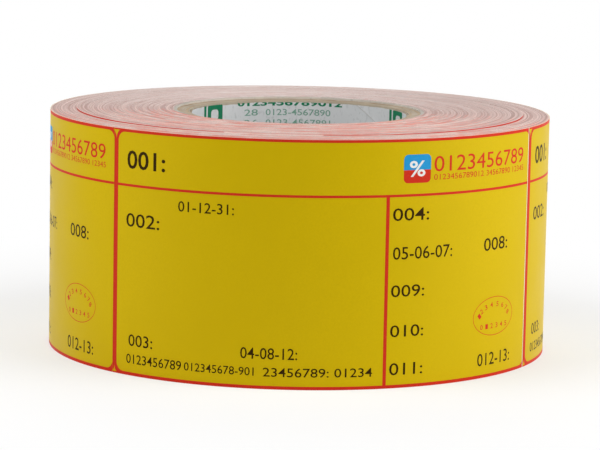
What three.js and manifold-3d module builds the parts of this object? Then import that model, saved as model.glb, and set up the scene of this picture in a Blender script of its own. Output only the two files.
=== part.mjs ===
// A roll of printed price labels, standing on its end.
//
// A spiral-wound paper core carries one long web of backing paper. Price labels lie on the outer face of
// the backing, one after the other, and cover its whole width. The real web is about 0.2 mm thick and makes
// over two hundred turns, so here a loop stands for about nine of them. The four outer loops are real
// pieces, a strip of backing with each label on it as a piece of its own. The loops below them are one
// wound body, whose two ends show the same spiral.
//
// Millimetres, +Z up along the roll's axis, the origin at the middle of the bottom end.
// The front label faces -Y. Angles turn anticlockwise seen from above, from zero at the front.

import * as THREE from 'three';
import Module from 'manifold-3d';
import { mergeVertices } from 'three/addons/utils/BufferGeometryUtils.js';

// Core, a tube of paper plies
const CORE_BORE_RADIUS = 38.1;
const CORE_END_RECESS = 0.5;
const CORE_LINER_THICKNESS = 0.5;
const CORE_LINER_RECESS = 0.8;
const CORE_BODY_PLY_THICKNESS = 0.75;
const CORE_BODY_PLIES = 3;
const CORE_OUTER_PLY_THICKNESS = 0.45;
const PLY_STRIP_WIDTH = 120;
const PLY_SEAM_GAP = 0.5;
const LINER_SEAM_TOP_ANGLE = THREE.MathUtils.degToRad(148);
const PLY_SEAM_STAGGER_SHARE = 0.3;

// Web, a strip of backing paper that carries the labels
const WEB_WIDTH = 82.8;
const BACKING_THICKNESS = 0.61;
const LABEL_THICKNESS = 0.62;
const LABEL_LENGTH = 162.9;
const LABEL_GAP = 0.6;
const LABEL_EDGE_INSET = 0.15;
const SHORTEST_LABEL = 20;
const FRONT_LABEL_TURN = THREE.MathUtils.degToRad(9.2);

// Winding
const LOOPS = 24;
const OUTER_LOOPS = 4;
const EDGE_DROP = 0.4;
const SPLICE_LOOPS_INSIDE_TAIL = 5.722;
const SPLICE_RISE = 0.5;
const SPLICE_RISE_FADE_LOOPS = 4;

// Strip of tape that holds the first edge of the web on the core
const TAPE_WIDTH = 24;
const TAPE_THICKNESS = 0.4;
const TAPE_END_MARGIN = 6;

const LAYER_CLEARANCE = 0.3;
const CUT_OVERRUN = 1;
const STEPS_PER_TURN = 40;
const STEP_ANGLE = (2 * Math.PI) / STEPS_PER_TURN;

const CORE_HEIGHT = WEB_WIDTH - CORE_END_RECESS;
const CORE_OUTER_RADIUS =
  CORE_BORE_RADIUS +
  CORE_LINER_THICKNESS +
  CORE_BODY_PLIES * (CORE_BODY_PLY_THICKNESS + LAYER_CLEARANCE) +
  CORE_OUTER_PLY_THICKNESS +
  LAYER_CLEARANCE;
const PACK_BORE_RADIUS = CORE_OUTER_RADIUS + LAYER_CLEARANCE;
const LOOP_PITCH = BACKING_THICKNESS + LABEL_THICKNESS + 2 * LAYER_CLEARANCE;
const BACKING_OFFSET = LAYER_CLEARANCE;
const LABEL_OFFSET = BACKING_OFFSET + BACKING_THICKNESS + LAYER_CLEARANCE;
const LABEL_PITCH = LABEL_LENGTH + LABEL_GAP;
const PACK_LOOPS = LOOPS - OUTER_LOOPS;
const SPLICE_LOOP = LOOPS - SPLICE_LOOPS_INSIDE_TAIL;

const material = (color, roughness) => new THREE.MeshStandardMaterial({ color, roughness, metalness: 0 });
const yellowLabel = material(0xe2c20c, 0.42);
const backingPaper = material(0xe9dfd8, 0.6);
const woundEdges = material(0xdcbfb6, 0.85);
const whitePaper = material(0xdfe1e4, 0.7);
const greyBoard = material(0xb9ab93, 0.9);
const kraftPaper = material(0xa58a62, 0.9);
const paperTape = material(0xd8c9a0, 0.6);

const wasm = await Module();
wasm.setup();

const roll = new THREE.Group();

function addPiece(name, geometry, finish) {
  const mesh = new THREE.Mesh(geometry, finish);
  mesh.name = name;
  roll.add(mesh);
}

// A point at an angle from the front and a distance from the axis.
const polar = (radius, angle, z) => new THREE.Vector3(radius * Math.sin(angle), -radius * Math.cos(angle), z);

// Flat polygons, each a list of points seen anticlockwise from outside, as one geometry.
function geometryFromFaces(faces) {
  const positions = [];
  for (const face of faces) {
    for (let i = 1; i + 1 < face.length; i++) {
      for (const corner of [face[0], face[i], face[i + 1]]) positions.push(corner.x, corner.y, corner.z);
    }
  }
  const geometry = new THREE.BufferGeometry();
  geometry.setAttribute('position', new THREE.Float32BufferAttribute(positions, 3));
  geometry.computeVertexNormals();
  return geometry;
}

// A solid through a row of sections. Each section lists the same number of points, anticlockwise for
// someone who looks back along the row.
function loft(sections) {
  const faces = [[...sections[0]].reverse(), sections[sections.length - 1]];
  for (let i = 0; i + 1 < sections.length; i++) {
    const here = sections[i];
    const next = sections[i + 1];
    here.forEach((corner, k) => {
      const after = (k + 1) % here.length;
      faces.push([corner, here[after], next[after], next[k]]);
    });
  }
  return geometryFromFaces(faces);
}

function toSolid(geometry) {
  const separate = geometry.index ? geometry.toNonIndexed() : geometry;
  const bare = new THREE.BufferGeometry();
  bare.setAttribute('position', separate.getAttribute('position'));
  const merged = mergeVertices(bare);
  return new wasm.Manifold(
    new wasm.Mesh({
      numProp: 3,
      vertProperties: merged.getAttribute('position').array,
      triVerts: new Uint32Array(merged.index.array),
    }),
  );
}

function toGeometry(solid) {
  const mesh = solid.getMesh();
  const geometry = new THREE.BufferGeometry();
  geometry.setAttribute('position', new THREE.BufferAttribute(mesh.vertProperties, mesh.numProp));
  geometry.setIndex(new THREE.BufferAttribute(mesh.triVerts, 1));
  geometry.computeVertexNormals();
  return geometry;
}

// The winding. Its coordinate is the number of loops from the web's first edge. The whole spiral is drawn
// with the same steps, so that its facets lie parallel from loop to loop.

const windRadius = (loop, offset) => PACK_BORE_RADIUS + LOOP_PITCH * loop + offset;

// Length along the spiral from the web's first edge to a loop, and back from a length to the loop.
function lengthToLoop(loop, offset) {
  return 2 * Math.PI * (windRadius(0, offset) * loop + (LOOP_PITCH * loop ** 2) / 2);
}

function loopAtLength(length, offset) {
  const start = windRadius(0, offset);
  return (Math.sqrt(start ** 2 + (LOOP_PITCH * length) / Math.PI) - start) / LOOP_PITCH;
}

// The tail ends one and a half labels past the middle of the front label.
const frontLabelMiddle = lengthToLoop(LOOPS, LABEL_OFFSET) - LABEL_PITCH - LABEL_PITCH / 2;
const tailAngle = FRONT_LABEL_TURN + 2 * Math.PI * (LOOPS - loopAtLength(frontLabelMiddle, LABEL_OFFSET));

function stepPoint(step, offset, z) {
  const loop = step / STEPS_PER_TURN;
  return polar(windRadius(loop, offset), tailAngle + 2 * Math.PI * (loop - LOOPS), z);
}

// A point between two steps lies on the facet that joins them.
function windPoint(loop, offset, z) {
  const step = Math.floor(loop * STEPS_PER_TURN);
  const along = loop * STEPS_PER_TURN - step;
  return stepPoint(step, offset, z).lerp(stepPoint(step + 1, offset, z), along);
}

// A strip of the web between two loops, as one unbroken solid.
function windStrip(firstLoop, lastLoop, offset, thickness, bottom, top) {
  const loops = [firstLoop];
  for (let step = Math.floor(firstLoop * STEPS_PER_TURN) + 1; step < lastLoop * STEPS_PER_TURN; step++) {
    loops.push(step / STEPS_PER_TURN);
  }
  loops.push(lastLoop);
  return loft(
    loops.map((loop) => [
      windPoint(loop, offset, bottom),
      windPoint(loop, offset, top),
      windPoint(loop, offset + thickness, top),
      windPoint(loop, offset + thickness, bottom),
    ]),
  );
}

// Core: each ply is a strip of paper wound on a helix, edge to edge, so its seam climbs the tube.

function plySeamCutter(innerRadius, outerRadius, topAngle, top) {
  const circumference = 2 * Math.PI * innerRadius;
  const climbPerTurn = circumference * Math.tan(Math.asin(PLY_STRIP_WIDTH / circumference));
  const from = -CUT_OVERRUN;
  const to = top + CUT_OVERRUN;
  const turns = (to - from) / climbPerTurn;
  const steps = Math.ceil(turns * STEPS_PER_TURN);
  const near = innerRadius - CUT_OVERRUN;
  const far = outerRadius + CUT_OVERRUN;
  const sections = [];
  for (let i = 0; i <= steps; i++) {
    const z = from + ((to - from) * i) / steps;
    const angle = topAngle + (2 * Math.PI * (z - top)) / climbPerTurn;
    const along = polar(1, angle, 0);
    const across = new THREE.Vector3(-along.y, along.x, 0).multiplyScalar(PLY_SEAM_GAP / 2);
    const corner = (radius, side) => polar(radius, angle, z).addScaledVector(across, side);
    sections.push([corner(near, -1), corner(far, -1), corner(far, 1), corner(near, 1)]);
  }
  return loft(sections);
}

function corePly(name, innerRadius, thickness, top, seamTopAngle, finish) {
  const outerRadius = innerRadius + thickness;
  const wall = [
    new THREE.Vector2(innerRadius, 0),
    new THREE.Vector2(outerRadius, 0),
    new THREE.Vector2(outerRadius, top),
    new THREE.Vector2(innerRadius, top),
    new THREE.Vector2(innerRadius, 0),
  ];
  const tube = new THREE.LatheGeometry(wall, STEPS_PER_TURN).rotateX(Math.PI / 2).rotateZ(tailAngle);
  const seam = plySeamCutter(innerRadius, outerRadius, seamTopAngle, top);
  addPiece(name, toGeometry(toSolid(tube).subtract(toSolid(seam))), finish);
}

function addCore() {
  const stagger = 2 * Math.PI * PLY_SEAM_STAGGER_SHARE;
  let radius = CORE_BORE_RADIUS;
  corePly(
    'core_inner_liner',
    radius,
    CORE_LINER_THICKNESS,
    CORE_HEIGHT - CORE_LINER_RECESS,
    LINER_SEAM_TOP_ANGLE,
    whitePaper,
  );
  radius += CORE_LINER_THICKNESS + LAYER_CLEARANCE;
  for (let ply = 1; ply <= CORE_BODY_PLIES; ply++) {
    const seamAngle = LINER_SEAM_TOP_ANGLE + ply * stagger;
    corePly(`core_body_ply_${ply}`, radius, CORE_BODY_PLY_THICKNESS, CORE_HEIGHT, seamAngle, greyBoard);
    radius += CORE_BODY_PLY_THICKNESS + LAYER_CLEARANCE;
  }
  const outerSeamAngle = LINER_SEAM_TOP_ANGLE + (CORE_BODY_PLIES + 1) * stagger;
  corePly('core_outer_ply', radius, CORE_OUTER_PLY_THICKNESS, CORE_HEIGHT, outerSeamAngle, kraftPaper);
}

// The tape lies on the core in the wedge that the first loop leaves open in front of the web's first edge.
function addLeadTape() {
  const radius = CORE_OUTER_RADIUS + LAYER_CLEARANCE;
  const end = tailAngle - LAYER_CLEARANCE / radius;
  const start = end - TAPE_WIDTH / radius;
  const steps = Math.ceil((end - start) / STEP_ANGLE);
  const sections = [];
  for (let i = 0; i <= steps; i++) {
    const angle = start + ((end - start) * i) / steps;
    sections.push([
      polar(radius, angle, TAPE_END_MARGIN),
      polar(radius, angle, CORE_HEIGHT - TAPE_END_MARGIN),
      polar(radius + TAPE_THICKNESS, angle, CORE_HEIGHT - TAPE_END_MARGIN),
      polar(radius + TAPE_THICKNESS, angle, TAPE_END_MARGIN),
    ]);
  }
  addPiece('lead_tape', loft(sections), paperTape);
}

// Inner turns: one wound body. Its edge on each end is a spiral that leans up to the outer side of a loop and
// drops to the next one. The loops inside the splice stand proud at the top and back at the bottom.

function spliceRise(loop) {
  if (loop > SPLICE_LOOP) return 0;
  return SPLICE_RISE * Math.exp((loop - SPLICE_LOOP) / SPLICE_RISE_FADE_LOOPS);
}

function addInnerTurns() {
  const turn = STEPS_PER_TURN;
  const last = PACK_LOOPS * turn;
  const rise = (step) => spliceRise(step / turn);
  const topInner = (step) => stepPoint(step, 0, WEB_WIDTH + rise(step) - EDGE_DROP);
  const topOuter = (step) => stepPoint(step + turn, 0, WEB_WIDTH + rise(step));
  const bottomInner = (step) => stepPoint(step, 0, rise(step) + EDGE_DROP);
  const bottomOuter = (step) => stepPoint(step + turn, 0, rise(step));
  const faces = [];
  for (let i = 0; i < last; i++) {
    faces.push([topInner(i), topOuter(i), topOuter(i + 1), topInner(i + 1)]);
    faces.push([bottomInner(i), bottomInner(i + 1), bottomOuter(i + 1), bottomOuter(i)]);
  }
  for (let i = 0; i < last - turn; i++) {
    const j = i + turn;
    faces.push([topOuter(i), topInner(j), topInner(j + 1), topOuter(i + 1)]);
    faces.push([bottomOuter(i), bottomOuter(i + 1), bottomInner(j + 1), bottomInner(j)]);
  }
  for (let i = 0; i < turn; i++) {
    faces.push([topInner(i), topInner(i + 1), bottomInner(i + 1), bottomInner(i)]);
  }
  for (let i = last - turn + 1; i < last; i++) {
    faces.push([topOuter(i), bottomOuter(i), bottomOuter(i + 1), topOuter(i + 1)]);
  }
  const first = last - turn;
  faces.push([
    topOuter(first + 1),
    topOuter(first),
    topInner(last),
    bottomInner(last),
    bottomOuter(first),
    bottomOuter(first + 1),
  ]);
  faces.push([topInner(0), bottomInner(0), bottomOuter(0), bottomInner(turn), topInner(turn), topOuter(0)]);
  faces.push([topInner(last), topOuter(last), bottomOuter(last), bottomInner(last)]);
  addPiece('inner_turns', geometryFromFaces(faces), woundEdges);
}

// Outer loops: the backing as one strip from the inner turns to the tail, with each label apart on it.

function addOuterBacking() {
  const start = PACK_LOOPS + LAYER_CLEARANCE / (2 * Math.PI * windRadius(PACK_LOOPS, BACKING_OFFSET));
  addPiece(
    'outer_backing',
    windStrip(start, LOOPS, BACKING_OFFSET, BACKING_THICKNESS, 0, WEB_WIDTH),
    backingPaper,
  );
  return start;
}

function addLabels(backingStart) {
  const tail = lengthToLoop(LOOPS, LABEL_OFFSET) - LABEL_GAP / 2;
  const innermost = lengthToLoop(backingStart, LABEL_OFFSET);
  for (let label = 0; ; label++) {
    const end = tail - label * LABEL_PITCH;
    const start = Math.max(end - LABEL_LENGTH, innermost);
    if (end - start < SHORTEST_LABEL) return;
    addPiece(
      `label_${String(label + 1).padStart(2, '0')}`,
      windStrip(
        loopAtLength(start, LABEL_OFFSET),
        loopAtLength(end, LABEL_OFFSET),
        LABEL_OFFSET,
        LABEL_THICKNESS,
        LABEL_EDGE_INSET,
        WEB_WIDTH - LABEL_EDGE_INSET,
      ),
      yellowLabel,
    );
  }
}

// The least gap of the backing strip to itself, measured between one loop and the next.
function leastBackingGap() {
  let least = Infinity;
  for (let step = PACK_LOOPS * STEPS_PER_TURN; step <= (LOOPS - 1) * STEPS_PER_TURN; step++) {
    const outerFace = stepPoint(step, BACKING_OFFSET + BACKING_THICKNESS, 0);
    const nextInnerFace = stepPoint(step + STEPS_PER_TURN, BACKING_OFFSET, 0);
    least = Math.min(least, outerFace.distanceTo(nextInnerFace));
  }
  return least;
}

addCore();
addLeadTape();
addInnerTurns();
const backingStart = addOuterBacking();
addLabels(backingStart);

const frontRadius = windRadius(LOOPS + 1 - tailAngle / (2 * Math.PI), 0);
console.log(`least gap of the backing strip to itself: ${leastBackingGap().toFixed(2)} mm`);
console.log(`roll radius at the front: ${frontRadius.toFixed(2)} mm`);

export default roll;
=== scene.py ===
"""Looks of a roll of printed price labels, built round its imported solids. Metres, +Z up along the roll.

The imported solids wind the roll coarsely. Here the web is about as thin as the real one, so its ends show
every turn, and the outermost turn is a strip of backing with the printed labels on it. Angles turn
anticlockwise seen from above, from zero at the front, which faces -Y.
"""

import math

import bmesh
import bpy
import numpy as np
from mathutils import Matrix, Vector


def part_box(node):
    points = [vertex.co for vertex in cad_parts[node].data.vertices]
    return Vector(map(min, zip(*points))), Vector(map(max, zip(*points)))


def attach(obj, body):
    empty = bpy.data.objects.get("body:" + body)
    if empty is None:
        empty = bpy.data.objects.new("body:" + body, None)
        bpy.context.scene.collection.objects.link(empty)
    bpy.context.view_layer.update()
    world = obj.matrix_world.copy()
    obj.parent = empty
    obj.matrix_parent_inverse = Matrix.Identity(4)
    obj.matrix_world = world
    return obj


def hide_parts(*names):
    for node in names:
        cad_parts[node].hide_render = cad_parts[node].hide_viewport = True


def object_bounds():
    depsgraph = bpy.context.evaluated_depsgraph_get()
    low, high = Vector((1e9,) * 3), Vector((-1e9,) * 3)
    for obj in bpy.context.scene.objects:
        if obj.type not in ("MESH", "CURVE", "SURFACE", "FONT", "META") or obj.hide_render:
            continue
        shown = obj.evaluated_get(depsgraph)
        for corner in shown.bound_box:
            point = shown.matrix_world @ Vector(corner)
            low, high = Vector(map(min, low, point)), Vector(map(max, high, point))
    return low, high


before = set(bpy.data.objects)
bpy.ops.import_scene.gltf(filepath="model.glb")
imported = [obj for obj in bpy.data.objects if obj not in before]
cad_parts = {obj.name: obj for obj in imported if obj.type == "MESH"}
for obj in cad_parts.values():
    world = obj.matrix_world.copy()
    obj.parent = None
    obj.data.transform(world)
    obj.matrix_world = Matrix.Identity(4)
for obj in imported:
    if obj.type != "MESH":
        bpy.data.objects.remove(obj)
cad_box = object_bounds()

MM = 0.001
QUARTER_TURN = math.pi / 2
SHARP_FROM = math.radians(30)
FULL_TURN = 2 * math.pi
CORE_PLIES = ["core_inner_liner", "core_body_ply_1", "core_body_ply_2", "core_body_ply_3", "core_outer_ply"]
COVERED_LABELS = [f"label_{number:02d}" for number in range(5, 14)]


def node_points(node):
    """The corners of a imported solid, one row each."""
    return np.array([corner.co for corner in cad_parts[node].data.vertices])


def node_radii(node):
    """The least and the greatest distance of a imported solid's corners from the axis."""
    points = node_points(node)
    distance = np.hypot(points[:, 0], points[:, 1])
    return distance.min(), distance.max()


def node_span(node):
    """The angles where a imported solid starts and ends, if it doesn't reach round the back."""
    points = node_points(node)
    angle = np.arctan2(points[:, 0], -points[:, 1])
    return angle.min(), angle.max()


# Winding. Its coordinate, turn, counts whole turns from the web's first edge on the core.
TURNS = 200
STEPS_PER_TURN = 180
WOUND_BODIES = 4
LAST_TURN = TURNS - 1
COVERED_TURNS = LAST_TURN - 1
WEB_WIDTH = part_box("outer_backing")[1][2]
PACK_BORE = node_radii("inner_turns")[0]
BOX_MARGIN = 0.02 * MM
OUTLINE_CENTRE = [(cad_box[0][k] + cad_box[1][k]) / 2 for k in (0, 1)]
OUTLINE_HALF = [(cad_box[1][k] - cad_box[0][k]) / 2 - BOX_MARGIN for k in (0, 1)]
OUTLINE_RADIUS = sum(OUTLINE_HALF) / 2
TURN_PITCH = (OUTLINE_RADIUS - PACK_BORE) / TURNS
TURN_LENGTH = FULL_TURN * OUTLINE_RADIUS
TAIL_POINT = max(node_points("outer_backing"), key=lambda point: math.hypot(point[0], point[1]))
TAIL_ANGLE = math.atan2(TAIL_POINT[0], -TAIL_POINT[1])

# The tape under the web's first edge lifts the first turns a little.
TAPE_SPAN = node_span("lead_tape")
TAPE_LIFT = 0.42 * MM
TAPE_LIFT_FADE_TURNS = 9
TAPE_RAMP = math.radians(9)

# Heights of the turns' edges. The turns inside the splice stand proud, and so do the first ones.
SPLICE_POINT = max(node_points("inner_turns"), key=lambda point: point[2])
SPLICE_TURN = (math.hypot(SPLICE_POINT[0], SPLICE_POINT[1]) - PACK_BORE) / TURN_PITCH
SPLICE_FADE_TURNS = 16
SPLICE_LEAST_SHARE = 0.3
SPLICE_SIDE_POWER = 1.5
TOP_ROOM = cad_box[1][2] - WEB_WIDTH - BOX_MARGIN
CORE_SIDE_DROP = 0.1 * MM
CORE_SIDE_WIDTH = 5 * MM
RIM_DROP = 0.5 * MM
RIM_DROP_BACK_SHARE = 0.2
RIM_WIDTH = 4.5 * MM
RIM_JITTER = 0.015 * MM
CORE_JITTER = 0.08 * MM
JITTER_FADE = 25 * MM
EDGE_TILT = 0.01 * MM
EDGE_BAND = 0.06 * MM
EDGE_BAND_TURNS = 5
EDGE_LEVEL = 0.05 * MM
EDGE_LEVEL_TURNS = 3
NOISE_LOBES = 9
NOISE_KNOTS_PER_TURN = 60
TOP_SEED = 11
FOOT_SEED = 21
RING_SEED = 31
ARC_SEED = 32
FINE_SEED = 33
STREAK_SEED = 34
PLY_SEED = 41
FIBRE_SEED = 51
LEADER_TURNS = 5
LEADER_DROP = 0.3 * MM
TALL_WALL = 0.15 * MM
RING_TURNS = 1.4
RING_SHARE = 0.5
ARC_SHARE = 0.3
STREAK_TURNS = 6
STREAK_LOBES = 32
# Painted shade: the turns' edges are darkened towards the roll's left and right sides
SIDE_PAINTED_SHADE = 0.25
SPLICE_TONE = 0.45
SPLICE_TONE_TURNS = 4
# Places of a wound body's materials in its list
CUT_EDGE, LABEL_PRINT, PAPER_BACK, LEADER_EDGE, WORN_PRINT, BORE_PAINTED_SHADE = range(6)

# Last turn: backing with a sheet for each label. The web's tail curls up a little, and one cut stands open.
BACKING_THICKNESS = 0.1 * MM
LABEL_THICKNESS = 0.1 * MM
LAYER_GAP = 0.005 * MM
LABEL_INSET = 0.03 * MM
LABEL_LENGTH = 163.5 * MM
LABEL_STEPS = 107
LABELS_ON_SHOW = 4
CUT_WIDTH = 0.12 * MM
OPEN_CUT_WIDTH = 0.55 * MM
OPEN_CUT_LABEL = 2
CURL_HEIGHT = 0.5 * MM
CURL_LENGTH = 5 * MM
CURL_REACH = 4

# Print. A label's own coordinates run right from the middle of its left frame line, and up from the
# web's foot.
CUT_TO_JOINT = 1.0 * MM
INK_THICKNESS = 0.008 * MM
INK_GAP = 0.006 * MM
# Where ink is thin, the colour below shows through it by this share
INK_THIN_SHARE = 0.03
LABEL_YELLOW = (0.61, 0.43, 0.0006)
LINER_WHITE = (0.65, 0.65, 0.65)

# Depth of the grain and waves in the materials
LABEL_GRAIN_DEPTH = 0.02 * MM
LABEL_WAVE_DEPTH = 0.25 * MM
INK_GRAIN_DEPTH = 0.01 * MM
PAPER_GRAIN_DEPTH = 0.03 * MM
TORN_GRAIN_DEPTH = 0.1 * MM
EDGE_GRAIN_DEPTH = 0.03 * MM
FLOOR_GRAIN_DEPTH = 0.1 * MM

# Frames and text of the print
FRAME_LOW = LABEL_INSET
FRAME_HIGH = WEB_WIDTH - LABEL_INSET
FRAME_SIDE_WIDTH = 1.0 * MM
FRAME_LOW_WIDTH = 1.1 * MM
FRAME_TOP_WIDTH = 1.39 * MM
FRAME_LOW_JOIN = 0.5 * MM
FRAME_TOP_JOIN = 0.95 * MM
FRAME_LOW_RADIUS = 2.6 * MM
FRAME_TOP_RADIUS = 4.0 * MM
FRAME_INNER_RADIUS = 3.0 * MM
HEADER_LINE_HEIGHT = 63.8 * MM
HEADER_LINE_WIDTH = 0.85 * MM
COLUMN_LINE_PLACE = 96.6 * MM
COLUMN_LINE_WIDTH = 1.2 * MM
ARC_STEPS = 8
OVAL_STEPS = 72
OVAL_PLACE = (142.3 * MM, 20.6 * MM)
OVAL_HALF = (10.9 * MM, 6.6 * MM)
OVAL_LINE_WIDTH = 0.22 * MM
OVAL_DIGIT_SIZE = (1.3 * MM, 1.7 * MM)
OVAL_DIGIT_SHARES = (0.72, 0.6)
OVAL_FIRST_ANGLE = math.radians(172)
OVAL_DIGITS_SPAN = math.radians(164)
OVAL_UPPER_DIGITS = "12345678"
OVAL_LOWER_DIGITS = "012345"
OVAL_LOWER_DROP = 3.3 * MM
OVAL_LOWER_SPAN = 13.3 * MM
BADGE_PLACE = (101.9 * MM, 111.9 * MM, 67.8 * MM, 77.2 * MM)
BADGE_RADIUS = 1.6 * MM
BADGE_SPLIT_SHARE = 0.46
BADGE_SIGN_SHARE = 0.22
# Each line of print: its words, then left, right, low and high in millimetres
BLACK_LINES = [
    ("001:", 5.2, 21.0, 69.3, 75.5),
    ("01-12-31:", 26.1, 45.8, 56.9, 60.4),
    ("002:", 5.0, 19.0, 50.0, 54.6),
    ("003:", 6.5, 16.7, 10.0, 14.0),
    ("04-08-12:", 48.6, 67.4, 9.9, 13.7),
    ("0123456789", 5.6, 28.0, 4.1, 7.3),
    ("012345678-901", 29.0, 53.2, 4.3, 7.1),
    ("23456789: 01234", 56.2, 92.4, 4.2, 7.2),
    ("004:", 98.4, 111.7, 55.5, 59.7),
    ("05-06-07:", 98.7, 121.3, 42.7, 46.9),
    ("008:", 135.8, 148.7, 43.0, 47.4),
    ("009:", 98.3, 110.5, 30.3, 34.3),
    ("010:", 98.3, 110.5, 17.0, 21.0),
    ("011:", 98.3, 110.5, 4.3, 8.4),
    ("012-13:", 134.0, 152.0, 4.1, 8.4),
]
BOLD_BLACK_LINES = 1
RED_LINES = [
    ("0123456789", 113.2, 158.0, 71.2, 76.4),
    ("0123456789012 34567890 12345", 113.2, 158.2, 68.5, 70.4),
]
TEXT_WEIGHT = 0.004
BOLD_TEXT_WEIGHT = 0.014
LINER_TEXT_WEIGHT = 0.006
LINER_BOLD_TEXT_WEIGHT = 0.03
TEXT_CURVE_STEPS = 3
MERGE_DISTANCE = 0.001 * MM

# Core: strips of paper wound on a helix, whose seams climb the tube, with worn ends. Some ends are brown.
KRAFT_ENDS = ("core_body_ply_1", "core_outer_ply")
PLY_GAP = 0.04 * MM
PLY_CLIMB = math.radians(31.5)
PLY_COLUMNS = 180
PLY_ROW_HEIGHT = 1.5 * MM
PLY_END_WEAR = 0.14 * MM
PLY_END_DROPS = [0.0, 0.3 * MM, 0.2 * MM, 0.1 * MM, 0.0]
PLY_END_KNOTS = 90
LINER_SEAM_TOP_ANGLE = math.radians(146.5)
PLY_SEAM_WIDTH = 0.16 * MM
LINER_LIP = 0.12 * MM
LINER_LIP_LENGTH = 0.9 * MM
# Where the liner's end is torn lower: angle in degrees, then millimetres
LINER_END_DROPS = [
    (205, 0),
    (214, 0.35),
    (228, 0.4),
    (240, 0.2),
    (262, 0.1),
    (264, 1.2),
    (268, 1.2),
    (272, 0),
]
SEAM_STAGGER = FULL_TURN * 0.3
FIBRES = 260
FIBRE_LENGTH = 0.9 * MM
FIBRE_WIDTH = 0.05 * MM
FIBRE_LEAN = 0.5
FIBRE_LEAST_SHARE = 0.5

# Print on the liner. It runs to the right as seen from the axis, and its blocks repeat round and down
# the bore.
LINER_PRINT_GAP = 0.055 * MM
LINER_PRINT_PITCH = math.radians(122)
LINER_PRINT_START = math.radians(243)
LINER_PRINT_DROP = 19 * MM
LINER_PRINT_TOP_DROP = 0.8 * MM
LINER_PRINT_COPIES = 3
LINER_PRINT_CUT_TURNS = 1.5
LINER_PRINT_ROWS = 4
LINER_PRINT_MARGIN = 0.08 * MM
# One repeat of it, in millimetres from its own corner: left, right, low and high, then a corner radius
LINER_BAR = (0, 1.6, -6.0, 1.0)
LINER_BLOCK = (2.5, 11, -6.0, 0.7, 0.6)
LINER_BLOCK_HOLE = (4.7, 8.8, -4.6, -0.9, 1.2)
LINER_LARGE_WORDS = (18, 58, -0.58, 1.9)
LINER_ROW_COLUMNS = [(21, 26.5), (29.5, 53.5)]
LINER_ROW_HEIGHTS = (-4.05, -1.72)
LINER_ROW_PITCH = 3.78

# Studio. Each lamp: azimuth and elevation in degrees, distance, side length, watts
LAMPS = [
    (-60, 48, 0.6, 0.4, 2.0),
    (-70, 12, 0.9, 0.4, 1.1),
    (60, 48, 0.6, 0.4, 1.7),
    (65, 12, 0.9, 0.4, 1.9),
    (90, 12, 0.9, 0.4, 1.6),
    (180, 45, 0.6, 0.4, 0.8),
    (180, 12, 0.9, 0.4, 0.9),
]
FLOOR_HALF_WIDTH = 3.0
FLOOR_DROP = 0.05 * MM
FLOOR_FADE_START = 0.08
FLOOR_FADE_END = 0.26
FLOOR_LEAST_GLOW = 0.5
WORLD_FILL = 0.08
CAMERA_DISTANCE = 1.0345
CAMERA_HEIGHT = 0.1925
CAMERA_PITCH = math.radians(8.287)
CAMERA_YAW = math.radians(0.042)
CAMERA_ROLL = math.radians(1.087)
CAMERA_LENS = 177.3
CAMERA_SENSOR = 36


# Noise along the winding


def smooth_step(value):
    part = np.clip(value, 0, 1)
    return part * part * (3 - 2 * part)


def line_noise(place, seed):
    """Smooth random values from -1 to 1 along a line, with a knot at each whole number."""
    place = np.asarray(place, float)
    low = np.floor(place).astype(int)
    knots = np.random.default_rng(seed).uniform(-1, 1, low.max() + 2)
    part = smooth_step(place - low)
    return knots[low] * (1 - part) + knots[low + 1] * part


def end_noise(turn, turns_per_band, seed, lobes=NOISE_LOBES):
    """Smooth random values from -1 to 1 over an end of the roll, in bands a few turns wide."""
    turn = np.asarray(turn, float)
    band = turn / turns_per_band
    lobe = (turn % 1) * lobes
    low_band = np.floor(band).astype(int)
    low_lobe = np.floor(lobe).astype(int) % lobes
    next_lobe = (low_lobe + 1) % lobes
    knots = np.random.default_rng(seed).uniform(-1, 1, (low_band.max() + 2, lobes))
    across = smooth_step(band - low_band)
    along = smooth_step(lobe - np.floor(lobe))
    inner = knots[low_band, low_lobe] * (1 - along) + knots[low_band, next_lobe] * along
    outer = knots[low_band + 1, low_lobe] * (1 - along) + knots[low_band + 1, next_lobe] * along
    return inner * (1 - across) + outer * across


# Winding


def turn_angle(turn):
    return TAIL_ANGLE + FULL_TURN * (np.asarray(turn, float) - LAST_TURN)


def tape_lift(turn):
    """How far the tape under the first edge pushes a turn out."""
    past_tape = (turn_angle(turn) - TAPE_SPAN[1]) % FULL_TURN
    to_tape = FULL_TURN - past_tape - (TAPE_SPAN[1] - TAPE_SPAN[0])
    over_tape = np.maximum(smooth_step(1 - past_tape / TAPE_RAMP), smooth_step(1 - to_tape / TAPE_RAMP))
    return TAPE_LIFT * over_tape * np.minimum(turn, np.exp((1 - turn) / TAPE_LIFT_FADE_TURNS))


def wound(turn, lift=0.0):
    """x and y on the web's inner side at a turn, lifted outward. Its outer side is one turn further."""
    turn = np.asarray(turn, float)
    share = turn / TURNS
    angle = turn_angle(turn)
    reach = [PACK_BORE + (half - PACK_BORE) * share + tape_lift(turn) + lift for half in OUTLINE_HALF]
    x = OUTLINE_CENTRE[0] * share + reach[0] * np.sin(angle)
    y = OUTLINE_CENTRE[1] * share - reach[1] * np.cos(angle)
    return x, y


def toward_front(turn, back_share):
    """A share that is one at the front and falls to another at the back."""
    return back_share + (1 - back_share) * (1 + np.cos(turn_angle(turn))) / 2


def rim_drop(turn):
    """How far the last turns' upper edges have slipped down, least at the back."""
    to_rim = (COVERED_TURNS - np.minimum(turn, COVERED_TURNS)) * TURN_PITCH
    return RIM_DROP * toward_front(turn, RIM_DROP_BACK_SHARE) * np.exp(-to_rim / RIM_WIDTH)


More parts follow.
